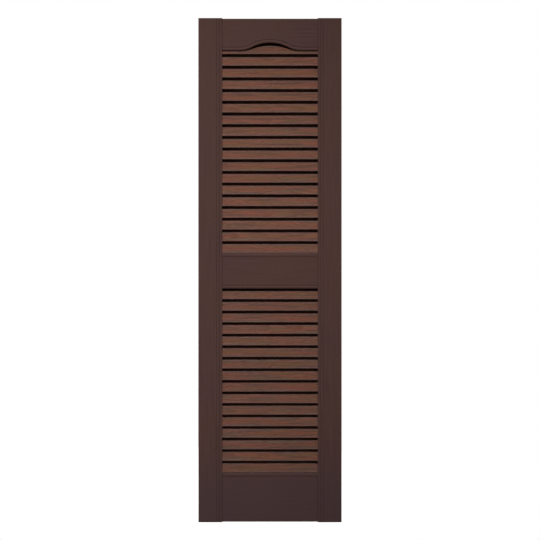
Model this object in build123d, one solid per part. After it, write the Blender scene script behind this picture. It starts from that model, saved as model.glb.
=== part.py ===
"""Exterior louvered shutter with a cathedral top, moulded in through-coloured plastic.

Two full-height stiles carry three rails and two fields of fixed louvers. The lower edge of
the top rail rises in a low arch. Stiles and rails are thin shells, open at the back and
stiffened by ribs, and their back edges lie on the wall. Sizes are in millimetres.

Frame: X to the right, Y towards the wall, Z up. The origin is the centre of the back plane,
on the middle rail's centre rib, so the face of the shutter looks along -Y.
"""

from build123d import *
import math
import os

# Overall size
shutter_width = 368.3
shutter_height = 1295.4
shutter_depth = 25.4

# Stiles
stile_width = 61.3
stile_rib_count = 13

# Rails
rail_end_reveal = 1.5
rail_face_setback = 1.5
top_rail_height = 81.9
middle_rail_height = 91.4
bottom_rail_height = 125.6
rail_rib_count = 3

# Arch in the top rail's lower edge
arch_half_span = 80.0
arch_rise = 20.0
arch_crown_radius = 100.0

# Shell walls
skin = 3.0
wall = 2.4
rib = 1.8

# Moulded beads along the edges of the openings
stile_bead_width = 7.5
stile_bead_radius = 8.0
lower_bead_width = 8.8
lower_bead_crest = 4.0
lower_bead_radius = 7.0
upper_bead_width = 10.2
upper_bead_crest = 5.4
upper_bead_radius = 13.0
outer_round = 3.0
end_chamfer = 1.2
overrun = 1.0

# Louvers
lower_field_height = 473.2
lower_louver_count = 16
upper_louver_count = 18
arch_louver_drop = 9.3
rail_louver_drop = 27.8
louver_lean = 24.0
louver_rise = 34.5
louver_thickness = 2.6
nose_setback = 1.6
nose_gap = 0.3
socket_depth = 1.2
socket_clearance = 0.15
louver_end_gap = 0.2
tail_clearance = 0.5

# Levels and widths worked out from the sizes above
half_width = shutter_width / 2
half_height = shutter_height / 2
opening_half = half_width - stile_width
stile_front = -shutter_depth
rail_front = stile_front + rail_face_setback
panel_top = half_height - rail_end_reveal
panel_bottom = -panel_top
top_rail_edge = panel_top - top_rail_height
bottom_rail_edge = panel_bottom + bottom_rail_height
middle_rail_low = bottom_rail_edge + lower_field_height
middle_rail_high = middle_rail_low + middle_rail_height
arch_louver_level = top_rail_edge - arch_louver_drop
upper_last_level = middle_rail_high + nose_gap
upper_pitch = (arch_louver_level - upper_last_level) / (upper_louver_count - 1)
rail_louver_level = middle_rail_low - rail_louver_drop
lower_last_level = bottom_rail_edge + nose_gap
lower_pitch = (rail_louver_level - lower_last_level) / (lower_louver_count - 1)
blade_length = (louver_rise - louver_thickness) / math.cos(math.radians(louver_lean))


def span_box(x_low, x_high, y_low, y_high, z_low, z_high):
    """A box between two opposite corners."""
    size = (x_high - x_low, y_high - y_low, z_high - z_low)
    centre = ((x_low + x_high) / 2, (y_low + y_high) / 2, (z_low + z_high) / 2)
    return Pos(*centre) * Box(*size)


def bays(low, high, rib_count):
    """The spaces between evenly spaced ribs, as pairs of limits."""
    clear = (high - low - rib_count * rib) / (rib_count + 1)
    return [(low + i * (clear + rib), low + i * (clear + rib) + clear) for i in range(rib_count + 1)]


def end_wedge(x_low, x_high, front, level, up):
    """A prism that bevels the front edge of a stile's or rail's end."""
    sign = 1 if up else -1
    corners = [
        (front - overrun, level + sign * overrun),
        (front - overrun, level - sign * (end_chamfer + overrun)),
        (front + end_chamfer + overrun, level + sign * overrun),
    ]
    face = make_face(Plane.YZ * Polyline(*corners, close=True))
    return Pos(x_low, 0, 0) * extrude(face, amount=x_high - x_low, dir=(1, 0, 0))


def bead_waste(width, crests, radius):
    """Section of what is cut from a square edge to leave round beads.

    X runs from the edge inwards and Y from the face into the wall. Each bead is an arc that
    touches the face at its crest, and the last one ends in a step up to the flat face.
    """
    waste = Pos((width - overrun) / 2, 0) * Rectangle(width + overrun, radius)
    for crest in crests:
        waste -= Pos(crest, radius) * Circle(radius)
    return waste


def louver_place():
    """Place of a blade's middle, leaning back, when its lowest point lies on Z = 0."""
    back = (louver_rise - louver_thickness) / 2 * math.tan(math.radians(louver_lean))
    middle_y = rail_front + nose_setback + louver_thickness / 2 + back
    return Pos(middle_y, louver_rise / 2) * Rot(0, 0, 90 - louver_lean)


def louver_section():
    """Section of one louver: a flat blade with a round nose and a round tail."""
    return Plane.YZ * louver_place() * SlotCenterToCenter(blade_length, louver_thickness)


def socket_section():
    """Straight-sided outline that clears one louver's section all round."""
    across = louver_thickness + 2 * socket_clearance
    return Plane.YZ * louver_place() * Rectangle(blade_length + across, across)


def louver_levels():
    """Level of each louver's lowest point, by the louver's name, from the top down."""
    levels = {}
    for i in range(upper_louver_count):
        levels[f"upper_louver_{i + 1:02d}"] = arch_louver_level - i * upper_pitch
    for i in range(lower_louver_count):
        levels[f"lower_louver_{i + 1:02d}"] = rail_louver_level - i * lower_pitch
    return levels


def louver(level):
    """One blade, with its ends inside the sockets of both stiles."""
    reach = opening_half + socket_depth - louver_end_gap
    blade = extrude(louver_section(), amount=2 * reach, dir=(1, 0, 0))
    return Pos(-reach, 0, level) * blade


def stile_section():
    """Section of the left stile across its length: a board with two beads along its inner edge."""
    board = Pos(-half_width + stile_width / 2, stile_front / 2) * Rectangle(stile_width, shutter_depth)
    outer_corner = board.vertices().group_by(Axis.X)[0].sort_by(Axis.Y)[0]
    board = fillet(outer_corner, outer_round)
    edge = Plane(origin=(-opening_half, stile_front, 0), x_dir=(-1, 0, 0), z_dir=(0, 0, -1))
    crests = (stile_bead_width / 2, 3 * stile_bead_width / 2)
    return board - edge * bead_waste(2 * stile_bead_width, crests, stile_bead_radius)


def left_stile():
    """Channel open at the back, with cross ribs, closed ends and a socket for each louver."""
    outer = -half_width
    inner = -opening_half
    stile = Pos(0, 0, -half_height) * extrude(stile_section(), amount=shutter_height, dir=(0, 0, 1))
    for low, high in bays(-half_height + wall, half_height - wall, stile_rib_count):
        stile -= span_box(outer + wall, inner - wall, stile_front + skin, overrun, low, high)
    stile -= end_wedge(outer - overrun, inner + overrun, stile_front, half_height, True)
    stile -= end_wedge(outer - overrun, inner + overrun, stile_front, -half_height, False)
    socket = extrude(socket_section(), amount=socket_depth + overrun, dir=(1, 0, 0))
    for level in louver_levels().values():
        stile -= Pos(inner - socket_depth, 0, level) * socket
    return stile


def rail_block(low, high):
    """Solid block of a rail between the stiles, up to the back plane."""
    return span_box(-opening_half, opening_half, rail_front, 0, low, high)


def hollow(rail, low, high):
    """Cuts the pockets of a rail between two levels, leaving side walls and ribs."""
    for left, right in bays(-opening_half + wall, opening_half - wall, rail_rib_count):
        rail -= span_box(left, right, rail_front + skin, overrun, low, high)
    return rail


def undercut(rail, low, high):
    """Clears the space behind a rail's lower lip, where the next louver's tail stands."""
    end = opening_half + overrun
    return rail - span_box(-end, end, rail_front + skin, overrun, low - overrun, high)


def upper_bead(level):
    """What is cut from a rail's straight upper edge to leave its bead."""
    end = opening_half + overrun
    edge = Plane(origin=(-end, rail_front, level), x_dir=(0, 0, -1), z_dir=(1, 0, 0))
    waste = edge * bead_waste(upper_bead_width, (upper_bead_crest,), upper_bead_radius)
    return extrude(waste, amount=2 * end, dir=(1, 0, 0))


def lower_bead_section(level):
    """Section of what is cut from a rail's lower edge to leave its bead, at the rail's left end."""
    edge = Plane(origin=(-opening_half - overrun, rail_front, level), x_dir=(0, 0, 1), z_dir=(-1, 0, 0))
    return edge * bead_waste(lower_bead_width, (lower_bead_crest,), lower_bead_radius)


def arch_line():
    """The top rail's lower edge from left to right, as lines and tangent arcs on the XZ plane.

    A foot arc, with its centre above the edge, turns up out of each flat, and one crown arc,
    with its centre below, joins the two.
    """
    both_radii = (arch_half_span**2 + arch_rise**2) / (2 * arch_rise)
    foot_radius = both_radii - arch_crown_radius
    turn = math.asin(arch_half_span / both_radii)
    crown_level = top_rail_edge + arch_rise

    def on_foot(angle):
        across = arch_half_span - foot_radius * math.sin(angle)
        return (across, top_rail_edge + foot_radius * (1 - math.cos(angle)))

    right = [on_foot(0), on_foot(turn / 2), on_foot(turn)]
    left = [(-x, z) for x, z in right]
    end = opening_half + overrun
    line = [
        Line((-end, top_rail_edge), left[0]),
        ThreePointArc(left[0], left[1], left[2]),
        ThreePointArc(left[2], (0, crown_level), right[2]),
        ThreePointArc(right[2], right[1], right[0]),
        Line(right[0], (end, top_rail_edge)),
    ]
    return [Plane.XZ * edge for edge in line]


def arch_waste():
    """What lies under the arch, through the whole depth of the rail."""
    end = opening_half + overrun
    below = top_rail_edge - overrun
    corners = [(end, top_rail_edge), (end, below), (-end, below), (-end, top_rail_edge)]
    outline = make_face(arch_line() + [Plane.XZ * Polyline(*corners)])
    return extrude(Pos(0, overrun, 0) * outline, amount=shutter_depth + 2 * overrun, dir=(0, -1, 0))


def top_rail():
    """Rail whose face runs down past its pockets as an apron with the arch in its edge."""
    web_low = arch_louver_level + louver_rise + tail_clearance
    rail = rail_block(top_rail_edge, panel_top)
    rail = hollow(rail, web_low + wall, panel_top - wall)
    rail = undercut(rail, top_rail_edge, web_low)
    rail -= arch_waste()
    path = Wire([Pos(0, rail_front, 0) * edge for edge in arch_line()])
    rail -= sweep(lower_bead_section(top_rail_edge), path=path)
    rail -= end_wedge(-opening_half - overrun, opening_half + overrun, rail_front, panel_top, True)
    return rail


def middle_rail():
    """Rail with a bead along both edges and a lip over the first lower louver."""
    web_low = rail_louver_level + louver_rise + tail_clearance
    rail = rail_block(middle_rail_low, middle_rail_high)
    rail = hollow(rail, web_low + wall, middle_rail_high - wall)
    rail = undercut(rail, middle_rail_low, web_low)
    rail -= upper_bead(middle_rail_high)
    rail -= extrude(lower_bead_section(middle_rail_low), amount=2 * (opening_half + overrun), dir=(1, 0, 0))
    return rail


def bottom_rail():
    """Rail with a bead along its top edge."""
    rail = rail_block(panel_bottom, bottom_rail_edge)
    rail = hollow(rail, panel_bottom + wall, bottom_rail_edge - wall)
    rail -= upper_bead(bottom_rail_edge)
    rail -= end_wedge(-opening_half - overrun, opening_half + overrun, rail_front, panel_bottom, False)
    return rail


left = left_stile()
parts = {
    "left_stile": left,
    "right_stile": mirror(left, about=Plane.YZ),
    "top_rail": top_rail(),
    "middle_rail": middle_rail(),
    "bottom_rail": bottom_rail(),
}
for name, level in louver_levels().items():
    parts[name] = louver(level)

os.makedirs("parts", exist_ok=True)
for name, solid in parts.items():
    solid.label = name
    export_step(solid, f"parts/{name}.step")
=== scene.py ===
import math

import bmesh
import bpy
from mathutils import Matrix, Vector


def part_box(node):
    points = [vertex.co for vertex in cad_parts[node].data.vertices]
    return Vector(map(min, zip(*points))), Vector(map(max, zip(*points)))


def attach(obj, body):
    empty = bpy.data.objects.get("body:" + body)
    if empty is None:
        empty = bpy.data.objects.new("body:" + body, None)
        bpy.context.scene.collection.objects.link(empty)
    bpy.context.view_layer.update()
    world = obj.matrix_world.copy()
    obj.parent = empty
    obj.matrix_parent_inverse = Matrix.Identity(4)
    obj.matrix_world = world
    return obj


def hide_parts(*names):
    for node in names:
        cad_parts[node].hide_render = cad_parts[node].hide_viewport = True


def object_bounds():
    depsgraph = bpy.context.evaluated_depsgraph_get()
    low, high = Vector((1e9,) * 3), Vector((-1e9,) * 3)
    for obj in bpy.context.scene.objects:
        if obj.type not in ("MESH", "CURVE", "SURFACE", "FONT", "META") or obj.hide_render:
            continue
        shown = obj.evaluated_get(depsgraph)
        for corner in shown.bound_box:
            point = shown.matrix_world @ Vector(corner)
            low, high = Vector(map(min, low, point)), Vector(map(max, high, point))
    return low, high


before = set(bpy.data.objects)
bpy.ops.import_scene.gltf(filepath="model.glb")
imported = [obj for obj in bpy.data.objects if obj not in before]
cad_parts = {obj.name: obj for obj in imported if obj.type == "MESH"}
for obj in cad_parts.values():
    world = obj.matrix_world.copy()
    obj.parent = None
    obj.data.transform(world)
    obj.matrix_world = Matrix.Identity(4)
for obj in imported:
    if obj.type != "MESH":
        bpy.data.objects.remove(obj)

cad_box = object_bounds()
low, high = cad_box


# The two stiles: full-height side boards with two round beads along the inner edge.
# Injection-moulded in brown plastic that is coloured right through, hollow at the back,
# with a fine wood grain in the mould that runs up the board.
merge_distance = 1e-6
edge_ease = 0.0004
groove_round = 0.0008
groove_reach = 0.0024
# Two faces that meet at less than the first angle are one flat face; corners and grooves turn
# by more than the next two, and the last is the most that shading smooths over.
flat_angle = math.radians(0.5)
corner_angle = math.radians(35)
groove_angle = math.radians(12)
moulding_smooth_angle = math.radians(30)
stile_shortest_eased = 0.06
seam_shade_reach = 0.0016
opening_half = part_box("right_stile")[0].x


def colour(red, green, blue):
    """Linear colour of a plain 8-bit one."""
    def linear(value):
        share = value / 255
        return share / 12.92 if share <= 0.04045 else ((share + 0.055) / 1.055) ** 2.4
    return (linear(red), linear(green), linear(blue), 1.0)


def new_object(name, data):
    """An object with the given data, linked into the scene."""
    item = bpy.data.objects.new(name, data)
    bpy.context.scene.collection.objects.link(item)
    return item


def add_node(tree, kind, inputs=None, **settings):
    """A new node whose inputs, by name or number, are linked to sockets or set to values."""
    node = tree.nodes.new(kind)
    for name, value in settings.items():
        setattr(node, name, value)
    for name, value in (inputs or {}).items():
        if isinstance(value, bpy.types.NodeSocket):
            tree.links.new(value, node.inputs[name])
        else:
            node.inputs[name].default_value = value
    return node


def calculate(tree, operation, *values):
    """Output of a Math node."""
    return add_node(tree, "ShaderNodeMath", dict(enumerate(values)), operation=operation).outputs[0]


def join_axes(tree, **axes):
    """Output of a Combine XYZ node, with zero for an axis that isn't given."""
    return add_node(tree, "ShaderNodeCombineXYZ", axes).outputs[0]


def split_axes(tree, vector):
    """Outputs X, Y and Z of a Separate XYZ node."""
    return add_node(tree, "ShaderNodeSeparateXYZ", {0: vector}).outputs


def fit_range(tree, value, given, wanted):
    """Output of a Map Range node that eases from the given pair of values to the wanted pair."""
    inputs = {"Value": value}
    inputs["From Min"], inputs["From Max"] = given
    inputs["To Min"], inputs["To Max"] = wanted
    return add_node(tree, "ShaderNodeMapRange", inputs, interpolation_type="SMOOTHSTEP").outputs[0]


def blend_colours(tree, share, first, second, way="MIX"):
    """Output of a Mix node between two colours."""
    inputs = {0: share, 6: first, 7: second}
    return add_node(tree, "ShaderNodeMix", inputs, data_type="RGBA", blend_type=way).outputs[2]


def stretched_noise(tree, place, along, across, detail, distortion=0.0):
    """Noise with features about as long along X and as wide across it as given, in metres."""
    stretch = {0: place, 1: (1 / along, 1 / across, 1 / across)}
    scaled = add_node(tree, "ShaderNodeVectorMath", stretch, operation="MULTIPLY").outputs[0]
    inputs = {"Vector": scaled, "Scale": 1.0, "Detail": detail, "Distortion": distortion}
    return add_node(tree, "ShaderNodeTexNoise", inputs).outputs["Fac"]


def new_group(name, inputs, outputs):
    """A shader group with float or vector inputs and float outputs, and its two end nodes."""
    tree = bpy.data.node_groups.new(name, "ShaderNodeTree")
    for label, start in inputs.items():
        kind = "NodeSocketVector" if isinstance(start, tuple) else "NodeSocketFloat"
        tree.interface.new_socket(label, in_out="INPUT", socket_type=kind).default_value = start
    for label in outputs:
        tree.interface.new_socket(label, in_out="OUTPUT", socket_type="NodeSocketFloat")
    return tree, tree.nodes.new("NodeGroupInput").outputs, tree.nodes.new("NodeGroupOutput").inputs


def fine_grain():
    """Fine straight grain along X: soft streaks, and short pores that the mould presses in."""
    inputs = {"Place": (0.0, 0.0, 0.0)}
    tree, given, result = new_group("fine_grain", inputs, ("Streak", "Pore", "Relief"))
    place = given["Place"]
    streak = stretched_noise(tree, place, along=0.11, across=0.0026, detail=4.0, distortion=0.5)
    pore = stretched_noise(tree, place, along=0.012, across=0.0006, detail=2.0)
    pore = fit_range(tree, pore, (0.6, 0.7), (0.0, 1.0))
    relief = calculate(tree, "SUBTRACT", streak, calculate(tree, "MULTIPLY", pore, 0.5))
    for label, value in (("Streak", streak), ("Pore", pore), ("Relief", relief)):
        tree.links.new(value, result[label])
    return tree


def painted_groove_shade():
    """Painted shade in grooves and seams, in broken patches along them."""
    inputs = {"Place": (0.0, 0.0, 0.0), "Depth": 0.0}
    tree, given, result = new_group("painted_groove_shade", inputs, ("Painted Shade",))
    patches = {"Vector": given["Place"], "Scale": 45.0, "Detail": 4.0}
    patch = add_node(tree, "ShaderNodeTexNoise", patches).outputs["Fac"]
    share = fit_range(tree, patch, (0.3, 0.6), (0.65, 1.0))
    tree.links.new(calculate(tree, "MULTIPLY", given["Depth"], share), result["Painted Shade"])
    return tree


def new_plastic(name):
    """A material, its node tree and its shader, with the low shine of this plastic."""
    material = bpy.data.materials.new(name)
    material.use_nodes = True
    shader = material.node_tree.nodes["Principled BSDF"]
    shader.inputs["Specular IOR Level"].default_value = 0.12
    return material, material.node_tree, shader


def frame_plastic(name, turn):
    """Brown moulded plastic of the frame, with the grain along X after the turn.

    It is a little warmer in cloudy patches, and a painted cool shade darkens it towards the bottom,
    where the key lamp's light fades. Painted shade darkens the grooves beside the beads and the
    seams between stiles and rails, more of it on the left side.
    """
    dark_streak = colour(72, 50, 47)
    light_streak = colour(84, 59, 56)
    warm_patch = colour(82, 58, 48)
    painted_cool_shade = colour(70, 54, 58)
    pore_colour = colour(52, 35, 31)
    painted_shade_colour = colour(24, 15, 12)
    foot_levels = (-0.60, -0.42)
    left_to_right = (-0.10, 0.12)
    material, tree, shader = new_plastic(name)
    place = add_node(tree, "ShaderNodeTexCoord").outputs["Object"]
    turned = add_node(tree, "ShaderNodeMapping", {"Vector": place, "Rotation": turn}).outputs[0]
    grain = add_node(tree, "ShaderNodeGroup", {"Place": turned}, node_tree=grain_group).outputs
    axes = split_axes(tree, place)

    streak = fit_range(tree, grain["Streak"], (0.3, 0.7), (0.0, 1.0))
    base = blend_colours(tree, streak, dark_streak, light_streak)
    clouds = {"Vector": place, "Scale": 7.0, "Detail": 5.0}
    cloud = add_node(tree, "ShaderNodeTexNoise", clouds).outputs["Fac"]
    base = blend_colours(tree, fit_range(tree, cloud, (0.35, 0.65), (0.0, 0.45)), base, warm_patch)
    # Painted shade: cooler and darker towards the bottom, where the key lamp's pool fades.
    base = blend_colours(tree, fit_range(tree, axes["Z"], foot_levels, (0.5, 0.0)), base, painted_cool_shade)
    base = blend_colours(tree, calculate(tree, "MULTIPLY", grain["Pore"], 0.25), base, pore_colour)

    # Painted shade: the grooves and the seams with the stiles are darkened, more on the left.
    groove = add_node(tree, "ShaderNodeAttribute", attribute_name="groove").outputs["Fac"]
    sideways = calculate(tree, "ABSOLUTE", axes["X"])
    off_seam = calculate(tree, "ABSOLUTE", calculate(tree, "SUBTRACT", sideways, opening_half))
    seam = fit_range(tree, off_seam, (0.0, seam_shade_reach), (0.8, 0.0))
    depth = calculate(tree, "MAXIMUM", groove, seam)
    painted_shade = {"Place": place, "Depth": depth}
    painted_shade = add_node(tree, "ShaderNodeGroup", painted_shade, node_tree=painted_shade_group).outputs["Painted Shade"]
    left_more = fit_range(tree, axes["X"], left_to_right, (0.75, 0.35))
    base = blend_colours(tree, calculate(tree, "MULTIPLY", painted_shade, left_more), base, painted_shade_colour)

    tree.links.new(base, shader.inputs["Base Color"])
    tree.links.new(fit_range(tree, streak, (0.0, 1.0), (0.7, 0.8)), shader.inputs["Roughness"])
    relief = {"Height": grain["Relief"], "Strength": 0.35, "Distance": 0.0003}
    tree.links.new(add_node(tree, "ShaderNodeBump", relief).outputs[0], shader.inputs["Normal"])
    return material


def off_line(point, line):
    """Distance from a point to a straight line between two others."""
    start, end = line
    share = (point - start).dot(end - start) / (end - start).length_squared
    return (point - start - (end - start) * min(max(share, 0.0), 1.0)).length


def round_edges(shape, edges, offset):
    """Round the given edges in two steps, and give back what the bevel made."""
    return bmesh.ops.bevel(
        shape, geom=edges, offset=offset, offset_type="OFFSET", segments=2, profile=0.5,
        affect="EDGES", clamp_overlap=True,
    )


def shade_smooth(mesh, angle):
    """Shade a mesh smooth, apart from its edges that turn by more than the angle."""
    for polygon in mesh.polygons:
        polygon.use_smooth = True
    mesh.set_sharp_from_angle(angle=angle)


def finished_copy(node_name, shortest_eased, plastic):
    """A copy of a moulding with its edges eased, which takes the moulding's place.

    Only edges at least as long as given are eased, so the sockets keep their fit. The grooves
    beside the beads are rounded, and the middle of each is marked for the painted shade.
    """
    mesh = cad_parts[node_name].data.copy()
    mesh.name = node_name + "_moulding"
    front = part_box(node_name)[0].y
    shape = bmesh.new()
    shape.from_mesh(mesh)
    mark = shape.verts.layers.float.new("groove")

    bmesh.ops.remove_doubles(shape, verts=shape.verts, dist=merge_distance)
    flat = [edge for edge in shape.edges if edge.is_manifold and edge.calc_face_angle() < flat_angle]
    bmesh.ops.dissolve_edges(shape, edges=flat, use_verts=False)
    corners = [
        edge for edge in shape.edges
        if edge.is_manifold and edge.calc_face_angle() > corner_angle and edge.calc_length() >= shortest_eased
    ]
    round_edges(shape, corners, edge_ease)
    bmesh.ops.remove_doubles(shape, verts=shape.verts, dist=merge_distance)

    grooves = [
        edge for edge in shape.edges
        if edge.is_manifold and not edge.is_convex and edge.calc_face_angle() > groove_angle
        and all(vertex.co.y < front + groove_reach for vertex in edge.verts)
    ]
    lines = [tuple(vertex.co.copy() for vertex in edge.verts) for edge in grooves]
    for vertex in round_edges(shape, grooves, groove_round)["verts"]:
        if min(off_line(vertex.co, line) for line in lines) < groove_round / 2:
            vertex[mark] = 1.0
    bmesh.ops.dissolve_degenerate(shape, dist=merge_distance, edges=shape.edges)
    shape.to_mesh(mesh)
    shape.free()

    # The normals that came with the CAD mesh no longer fit its rounded edges.
    if "custom_normal" in mesh.attributes:
        mesh.attributes.remove(mesh.attributes["custom_normal"])
    shade_smooth(mesh, moulding_smooth_angle)
    mesh.materials.clear()
    mesh.materials.append(plastic)
    piece = new_object(mesh.name, mesh)
    piece.modifiers.new("flat_faces_stay_flat", "WEIGHTED_NORMAL").keep_sharp = True
    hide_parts(node_name)
    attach(piece, "root")


grain_group = fine_grain()
painted_shade_group = painted_groove_shade()
grain_upright = (0.0, math.radians(90), 0.0)
stile_plastic = frame_plastic("stile_plastic", grain_upright)
for name in ("left_stile", "right_stile"):
    finished_copy(name, stile_shortest_eased, stile_plastic)


# The top, middle and bottom rails: cross boards between the stiles, set back a little from
# their faces. Moulded like the stiles, with the grain running across, a bead along each edge
# that meets the louvers, and the low arch in the top rail.
grain_level = (0.0, 0.0, 0.0)
rail_shortest_eased = 0.0
rail_plastic = frame_plastic("rail_plastic", grain_level)
for name in ("top_rail", "middle_rail", "bottom_rail"):
    finished_copy(name, rail_shortest_eased, rail_plastic)


# The upper louvers: fixed sloping blades with a round nose, seated in both stiles. Moulded in
# the same plastic as the frame, with a bolder plain-sawn grain that makes them look redder.
# The top one stands behind the arch, and its darker first tone paints the arch's shade on it.
louver_thickness = 0.0026
louver_lean = math.radians(24.0)
blade_low, blade_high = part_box("upper_louver_01")
louver_rise = blade_high.z - blade_low.z
louver_reach = blade_high.x
blade_width = (louver_rise - louver_thickness) / math.cos(louver_lean) + louver_thickness
lean_run = (louver_rise - louver_thickness) * math.tan(louver_lean)
louver_depth = blade_low.y + louver_thickness / 2 + lean_run / 2
blade_smooth_angle = math.radians(40)
nose_steps = 6


def cathedral_grain():
    """Plain-sawn grain: growth rings cut into nested, drawn-out arches along X.

    Place gives the position along the blade, the one across it and the blade's number, which
    sets each blade's board well apart from the next one's.
    """
    board_spacing = 7.31
    centre_spacing = 0.013
    arch_softness = 0.00008
    inputs = {"Place": (0.0, 0.0, 0.0), "Ring Width": 0.005, "Taper": 0.06}
    tree, given, result = new_group("cathedral_grain", inputs, ("Ring", "Streak", "Pore", "Relief"))
    axes = split_axes(tree, given["Place"])
    board = calculate(tree, "MULTIPLY", axes["Z"], board_spacing)
    place = join_axes(tree, X=axes["X"], Y=axes["Y"], Z=board)

    chance = {"W": board, "Scale": 1.0}
    chance = add_node(tree, "ShaderNodeTexNoise", chance, noise_dimensions="1D").outputs["Fac"]
    centre = fit_range(tree, chance, (0.3, 0.7), (-0.03, 0.05))
    wobble = stretched_noise(tree, place, along=0.07, across=0.03, detail=2.0)
    wobble = fit_range(tree, wobble, (0.2, 0.8), (-0.008, 0.008))
    sideways = calculate(tree, "ADD", calculate(tree, "SUBTRACT", axes["Y"], centre), wobble)
    square = calculate(tree, "MULTIPLY", sideways, sideways)
    depth = calculate(tree, "SQRT", calculate(tree, "ADD", square, arch_softness))
    lift = calculate(tree, "MULTIPLY", axes["X"], given["Taper"])
    start = calculate(tree, "MULTIPLY", board, centre_spacing)
    radius = calculate(tree, "ADD", calculate(tree, "ADD", depth, lift), start)
    rings = calculate(tree, "FRACT", calculate(tree, "DIVIDE", radius, given["Ring Width"]))
    rise = fit_range(tree, rings, (0.35, 0.86), (0.0, 1.0))
    fall = fit_range(tree, rings, (0.9, 1.0), (1.0, 0.0))
    ring = calculate(tree, "MULTIPLY", rise, fall)

    streak = stretched_noise(tree, place, along=0.12, across=0.0045, detail=3.0, distortion=0.3)
    pore = stretched_noise(tree, place, along=0.014, across=0.0007, detail=2.0)
    pore = fit_range(tree, pore, (0.58, 0.68), (0.0, 1.0))
    sunk_ring = calculate(tree, "MULTIPLY", ring, 0.6)
    sunk_pore = calculate(tree, "MULTIPLY", pore, 0.5)
    relief = calculate(tree, "SUBTRACT", streak, calculate(tree, "ADD", sunk_ring, sunk_pore))
    for label, value in (("Ring", ring), ("Streak", streak), ("Pore", pore), ("Relief", relief)):
        tree.links.new(value, result[label])
    return tree


def louver_plastic():
    """Brown moulded plastic of the blades, which reads the grain's place from their attribute.

    Soft olive and red patches run over all the blades, and each blade has a tone of its own. The
    nose has a painted grey sheen, dust lies on the inner part of the face, and painted shade
    darkens the front of the face where the next blade hides it.
    """
    dark_streak = colour(74, 43, 31)
    light_streak = colour(115, 70, 50)
    olive_patch = colour(95, 70, 41)
    red_patch = colour(118, 63, 49)
    dust_and_sheen_colour = colour(95, 86, 86)
    painted_shade_colour = colour(26, 14, 10)
    ring_colour = colour(82, 46, 32)
    pore_colour = colour(55, 34, 27)
    red_shift = (7.0, 3.0, 5.0)
    patch_range = (0.46, 0.62)
    # Three stretches across the blade, counted upwards from its middle.
    nose_sheen_part = (-0.0150, -0.0105)
    dusty_part = (-0.0010, 0.0050)
    hidden_part = (0.0045, 0.0085)
    material, tree, shader = new_plastic("louver_plastic")
    place = add_node(tree, "ShaderNodeAttribute", attribute_name="grain_place").outputs["Vector"]
    grain = add_node(tree, "ShaderNodeGroup", {"Place": place}, node_tree=cathedral_group).outputs

    position = add_node(tree, "ShaderNodeTexCoord").outputs["Object"]
    elsewhere = {0: position, 1: red_shift}
    elsewhere = add_node(tree, "ShaderNodeVectorMath", elsewhere, operation="ADD").outputs[0]
    olive = stretched_noise(tree, position, along=0.11, across=0.005, detail=3.0)
    red = stretched_noise(tree, elsewhere, along=0.09, across=0.005, detail=3.0)
    streak = fit_range(tree, grain["Streak"], (0.38, 0.62), (0.0, 1.0))
    base = blend_colours(tree, streak, dark_streak, light_streak)
    base = blend_colours(tree, fit_range(tree, olive, patch_range, (0.0, 0.7)), base, olive_patch)
    base = blend_colours(tree, fit_range(tree, red, patch_range, (0.0, 0.7)), base, red_patch)

    across = split_axes(tree, place)["Y"]
    # Painted sheen greys the round nose; dust greys the inner part of the face.
    nose_sheen = fit_range(tree, across, nose_sheen_part, (0.35, 0.0))
    dusty = fit_range(tree, across, dusty_part, (0.0, 0.35))
    base = blend_colours(tree, calculate(tree, "MAXIMUM", nose_sheen, dusty), base, dust_and_sheen_colour)
    # Painted shade darkens the front-facing part of the face that the next blade hides.
    normal = add_node(tree, "ShaderNodeNewGeometry").outputs["Normal"]
    to_front = fit_range(tree, split_axes(tree, normal)["Y"], (-0.4, 0.0), (1.0, 0.0))
    hidden = fit_range(tree, across, hidden_part, (0.0, 0.7))
    base = blend_colours(tree, calculate(tree, "MULTIPLY", hidden, to_front), base, painted_shade_colour)
    base = blend_colours(tree, calculate(tree, "MULTIPLY", grain["Ring"], 0.5), base, ring_colour)
    base = blend_colours(tree, calculate(tree, "MULTIPLY", grain["Pore"], 0.3), base, pore_colour)
    tone = add_node(tree, "ShaderNodeAttribute", attribute_name="tone").outputs["Fac"]
    base = blend_colours(tree, 1.0, base, tone, "MULTIPLY")

    tree.links.new(base, shader.inputs["Base Color"])
    tree.links.new(fit_range(tree, streak, (0.0, 1.0), (0.5, 0.62)), shader.inputs["Roughness"])
    relief = {"Height": grain["Relief"], "Strength": 0.5, "Distance": 0.0004}
    tree.links.new(add_node(tree, "ShaderNodeBump", relief).outputs[0], shader.inputs["Normal"])
    return material


def store_values(tree, geometry, name, value, kind, domain):
    """Geometry that carries a named attribute."""
    inputs = {"Geometry": geometry, "Name": name, "Value": value}
    node = "GeometryNodeStoreNamedAttribute"
    return add_node(tree, node, inputs, data_type=kind, domain=domain).outputs[0]


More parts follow.
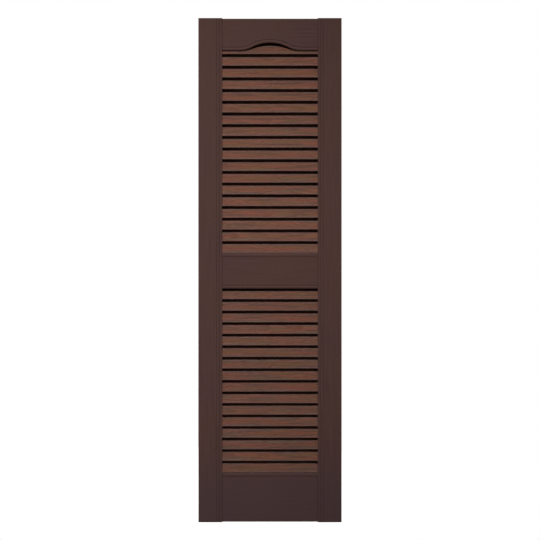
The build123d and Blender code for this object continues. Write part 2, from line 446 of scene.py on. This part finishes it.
def swept_blade(tree, given):
    """One blade along X about the origin: a flat section with round edges, leaned back.

    The corners are rounded by just under half the thickness, so that every edge keeps a length.
    """
    outline = {"Width": given["Thickness"], "Height": given["Blade Width"]}
    outline = add_node(tree, "GeometryNodeCurvePrimitiveQuadrilateral", outline).outputs[0]
    corner = calculate(tree, "MULTIPLY", given["Thickness"], 0.499)
    outline = {"Curve": outline, "Radius": corner, "Count": nose_steps}
    outline = add_node(tree, "GeometryNodeFilletCurve", outline, mode="POLY").outputs[0]
    turn = join_axes(tree, Z=calculate(tree, "MULTIPLY", given["Lean"], -1.0))
    outline = add_node(tree, "GeometryNodeTransform", {"Geometry": outline, "Rotation": turn}).outputs[0]
    start = join_axes(tree, X=calculate(tree, "MULTIPLY", given["Half Length"], -1.0))
    end = join_axes(tree, X=given["Half Length"])
    line = add_node(tree, "GeometryNodeCurvePrimitiveLine", {"Start": start, "End": end}).outputs[0]
    line = add_node(tree, "GeometryNodeSetCurveNormal", {"Curve": line}, mode="Z_UP").outputs[0]
    sweep = {"Curve": line, "Profile Curve": outline, "Fill Caps": True}
    return add_node(tree, "GeometryNodeCurveToMesh", sweep).outputs[0]


def louver_field_tree():
    """Geometry nodes that stand copies of one blade in a column, evenly spaced.

    Each blade stores its tone, which chance varies a little, and the place that its grain reads.
    """
    tree = bpy.data.node_groups.new("louver_field", "GeometryNodeTree")
    for label in ("Count", "First Number"):
        tree.interface.new_socket(label, in_out="INPUT", socket_type="NodeSocketInt")
    for label in (
        "Top Level", "Pitch", "Half Length", "Blade Width", "Thickness", "Lean", "Middle Depth",
        "Tone", "First Tone",
    ):
        tree.interface.new_socket(label, in_out="INPUT", socket_type="NodeSocketFloat")
    tree.interface.new_socket("Material", in_out="INPUT", socket_type="NodeSocketMaterial")
    tree.interface.new_socket("Geometry", in_out="OUTPUT", socket_type="NodeSocketGeometry")
    given = tree.nodes.new("NodeGroupInput").outputs

    top = join_axes(tree, Y=given["Middle Depth"], Z=given["Top Level"])
    step = join_axes(tree, Z=calculate(tree, "MULTIPLY", given["Pitch"], -1.0))
    places = {"Count": given["Count"], "Start Location": top, "Offset": step}
    places = add_node(tree, "GeometryNodeMeshLine", places).outputs[0]
    blades = {"Points": places, "Instance": swept_blade(tree, given)}
    blades = add_node(tree, "GeometryNodeInstanceOnPoints", blades).outputs[0]

    index = add_node(tree, "GeometryNodeInputIndex").outputs[0]
    blades = store_values(tree, blades, "blade_index", index, "FLOAT", "INSTANCE")
    chance = {2: 0.95, 3: 1.05, "ID": index, "Seed": given["First Number"]}
    chance = add_node(tree, "FunctionNodeRandomValue", chance, data_type="FLOAT").outputs[1]
    # The first tone sets the top blade apart; for the upper field it paints the arch's shade.
    first = calculate(tree, "LESS_THAN", index, 0.5)
    change = calculate(tree, "MULTIPLY", first, calculate(tree, "SUBTRACT", given["First Tone"], 1.0))
    tone = calculate(tree, "MULTIPLY", given["Tone"], calculate(tree, "ADD", chance, change))
    blades = store_values(tree, blades, "tone", tone, "FLOAT", "INSTANCE")
    blades = add_node(tree, "GeometryNodeRealizeInstances", {"Geometry": blades}).outputs[0]

    index = {"Name": "blade_index"}
    index = add_node(tree, "GeometryNodeInputNamedAttribute", index, data_type="FLOAT").outputs[0]
    axes = split_axes(tree, add_node(tree, "GeometryNodeInputPosition").outputs[0])
    drop = calculate(tree, "MULTIPLY", index, given["Pitch"])
    level = calculate(tree, "SUBTRACT", given["Top Level"], drop)
    across = calculate(tree, "SUBTRACT", axes["Z"], level)
    number = calculate(tree, "ADD", index, given["First Number"])
    grain_place = join_axes(tree, X=axes["X"], Y=across, Z=number)
    blades = store_values(tree, blades, "grain_place", grain_place, "FLOAT_VECTOR", "POINT")
    blades = {"Geometry": blades, "Material": given["Material"]}
    blades = add_node(tree, "GeometryNodeSetMaterial", blades).outputs[0]
    tree.links.new(blades, tree.nodes.new("NodeGroupOutput").inputs[0])
    return tree


def louver_field(blade_name, first_number, tone, first_tone, last_drop):
    """One field of louvers in place of its CAD nodes, whose boxes give the levels.

    The last blade stands lower than its node by the drop, and the others share that evenly. The
    first tone is the top blade's own, as a share of the tone of the field.
    """
    nodes = sorted(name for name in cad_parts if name.startswith(blade_name))
    top_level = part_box(nodes[0])[0].z
    last_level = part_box(nodes[-1])[0].z - last_drop
    values = {
        "Count": len(nodes), "First Number": first_number, "Top Level": top_level + louver_rise / 2,
        "Pitch": (top_level - last_level) / (len(nodes) - 1), "Half Length": louver_reach,
        "Blade Width": blade_width, "Thickness": louver_thickness, "Lean": louver_lean,
        "Middle Depth": louver_depth, "Tone": tone, "First Tone": first_tone, "Material": blade_plastic,
    }
    field = new_object(blade_name + "s", bpy.data.meshes.new(blade_name + "_start"))
    modifier = field.modifiers.new("field", "NODES")
    modifier.node_group = field_tree
    for item in field_tree.interface.items_tree:
        if item.in_out == "INPUT":
            modifier[item.identifier] = values[item.name]
    mesh = bpy.data.meshes.new_from_object(field.evaluated_get(bpy.context.evaluated_depsgraph_get()))
    field.modifiers.remove(modifier)
    field.data = mesh
    mesh.name = field.name
    shade_smooth(mesh, blade_smooth_angle)
    for node_name in nodes:
        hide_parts(node_name)
    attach(field, "root")


cathedral_group = cathedral_grain()
blade_plastic = louver_plastic()
field_tree = louver_field_tree()
louver_field("upper_louver", first_number=0, tone=1.0, first_tone=0.86, last_drop=0.0004)


# The lower louvers: sixteen of the same blades between the middle and the bottom rail, moulded
# and seated like the upper ones, and a little darker. The first one runs in behind the middle
# rail's lower lip.
louver_field("lower_louver", first_number=18, tone=0.92, first_tone=1.06, last_drop=0.0)


# The studio: a pale floor just where the key lamp's pool of light falls, so that it ends in
# plain white but keeps the shutter's shadow; a soft key lamp high in front, whose pool fades
# towards the bottom right; two broad side lamps from behind; and a white surround.
floor_gap = 0.0005
floor_middle = Vector((-0.15, 0.65))
floor_reach = Vector((0.75, 1.25))
floor_corners = 96
key_turn = -3
key_height = 38
key_distance = 9.0
key_aim = Vector((-0.25, 0.0, 0.11))
side_turn = 120
side_height = 8
white = (1.0, 1.0, 1.0, 1.0)


def grey(share):
    """A grey with the given share of white's light."""
    return (share, share, share, 1.0)


def seen_directly(tree):
    """One for rays that show the background straight, mirrored or through clear stuff, else zero."""
    path = add_node(tree, "ShaderNodeLightPath").outputs
    seen = calculate(tree, "MAXIMUM", path["Is Camera Ray"], path["Is Glossy Ray"])
    return calculate(tree, "MAXIMUM", seen, path["Is Transmission Ray"])


def towards(turn, height):
    """Direction from the shutter to a lamp, by its turn to the right and its height, in degrees."""
    turn, height = math.radians(turn), math.radians(height)
    return Vector((math.sin(turn) * math.cos(height), -math.cos(turn) * math.cos(height), math.sin(height)))


middle = (low + high) / 2
rim = []
for corner in range(floor_corners):
    turn = 2 * math.pi * corner / floor_corners
    rim.append((
        floor_middle.x + floor_reach.x * math.cos(turn),
        floor_middle.y + floor_reach.y * math.sin(turn),
        low.z - floor_gap,
    ))
floor_mesh = bpy.data.meshes.new("floor")
floor_mesh.from_pydata(rim, [], [tuple(range(floor_corners))])
floor_white = bpy.data.materials.new("floor_white")
floor_white.use_nodes = True
tree = floor_white.node_tree
tree.nodes.remove(tree.nodes["Principled BSDF"])
dim = add_node(tree, "ShaderNodeBsdfDiffuse", {"Color": grey(0.2)}).outputs[0]
lit = add_node(tree, "ShaderNodeBsdfDiffuse", {"Color": grey(0.6)}).outputs[0]
glow = add_node(tree, "ShaderNodeEmission", {"Color": white, "Strength": 0.85}).outputs[0]
shown = add_node(tree, "ShaderNodeAddShader", {0: lit, 1: glow}).outputs[0]
mix = add_node(tree, "ShaderNodeMixShader", {0: seen_directly(tree), 1: dim, 2: shown}).outputs[0]
tree.links.new(mix, tree.nodes["Material Output"].inputs["Surface"])
floor_mesh.materials.append(floor_white)
new_object("floor", floor_mesh)

world = bpy.data.worlds.new("surround")
world.use_nodes = True
bpy.context.scene.world = world
tree = world.node_tree
height = split_axes(tree, add_node(tree, "ShaderNodeTexCoord").outputs["Generated"])["Z"]
sky = fit_range(tree, height, (0.15, 0.95), (0.003, 0.24))
dim = add_node(tree, "ShaderNodeBackground", {"Color": white, "Strength": sky}).outputs[0]
plain = add_node(tree, "ShaderNodeBackground", {"Color": white, "Strength": 1.0}).outputs[0]
mix = add_node(tree, "ShaderNodeMixShader", {0: seen_directly(tree), 1: dim, 2: plain}).outputs[0]
tree.links.new(mix, tree.nodes["World Output"].inputs["Surface"])

key_data = bpy.data.lights.new("key_lamp", "SPOT")
key_data.energy = 3150.0
key_data.shadow_soft_size = 0.6
key_data.spot_size = math.radians(14)
key_data.spot_blend = 0.7
key = new_object("key_lamp", key_data)
key.location = middle + towards(key_turn, key_height) * key_distance
key.rotation_euler = (key.location - key_aim).to_track_quat("Z", "Y").to_euler()

for name, turn in (("left_lamp", -side_turn), ("right_lamp", side_turn)):
    side_data = bpy.data.lights.new(name, "SUN")
    side_data.energy = 2.6
    side_data.angle = math.radians(40)
    side = new_object(name, side_data)
    side.rotation_euler = towards(turn, side_height).to_track_quat("Z", "Y").to_euler()


# The camera stands level in front of the shutter's middle, a hair above it. Its view is as
# wide at the foremost plane of the shutter as the photograph's.
camera_distance = 4.5
camera_lift = 0.0004
view_width = 1.3868
camera_data = bpy.data.cameras.new("camera")
camera_data.sensor_width = 36.0
camera_data.lens = camera_data.sensor_width * camera_distance / view_width
camera = new_object("camera", camera_data)
camera.location = (0.0, low.y - camera_distance, middle.z + camera_lift)
camera.rotation_euler = (math.radians(90), 0.0, 0.0)
bpy.context.scene.camera = camera
bpy.context.scene.view_settings.view_transform = "Standard"
